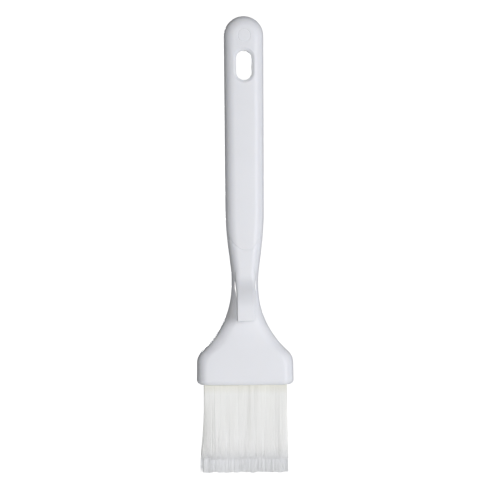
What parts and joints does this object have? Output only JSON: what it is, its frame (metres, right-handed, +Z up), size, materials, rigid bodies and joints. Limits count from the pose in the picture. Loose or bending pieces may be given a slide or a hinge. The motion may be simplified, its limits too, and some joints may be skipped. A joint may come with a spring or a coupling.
{
  "type": "pastry brush",
  "caption": "Flat pastry brush: straight grip with hanging slot, narrow neck with a pan-hook tongue, flared head and a wide bundle of soft bristles.",
  "frame": {"origin": "highest point inside the hanging slot, half way through the grip's thickness, where a peg carries the brush", "axes": "+Z up along the handle with the bristles pointing down, -Y out of the face with the hook tongue, +X to the right seen from that face"},
  "size_m": [0.0592, 0.0277, 0.28],
  "materials": {
    "handle_plastic": "satin moulded white polypropylene",
    "bristle_nylon": "translucent white nylon filament",
    "resin": "cured clear-amber resin",
    "spacer_plastic": "plain moulded plastic"
  },
  "bodies": {
    "handle": {"handle_body": "handle_plastic", "resin_block": "resin", "spacer_plug": "spacer_plastic"},
    "bristles": {"bristle_bank_front": "bristle_nylon", "bristle_bank_back": "bristle_nylon"}
  },
  "joints": [
    {"name": "bristle_flex", "type": "hinge", "parent": "handle", "child": "bristles", "pos_m": [0, 0.006, -0.2049], "axis": [1, 0, 0], "range_deg": [-25, 25], "stiffness_Nm_per_rad": 0.3}
  ]
}
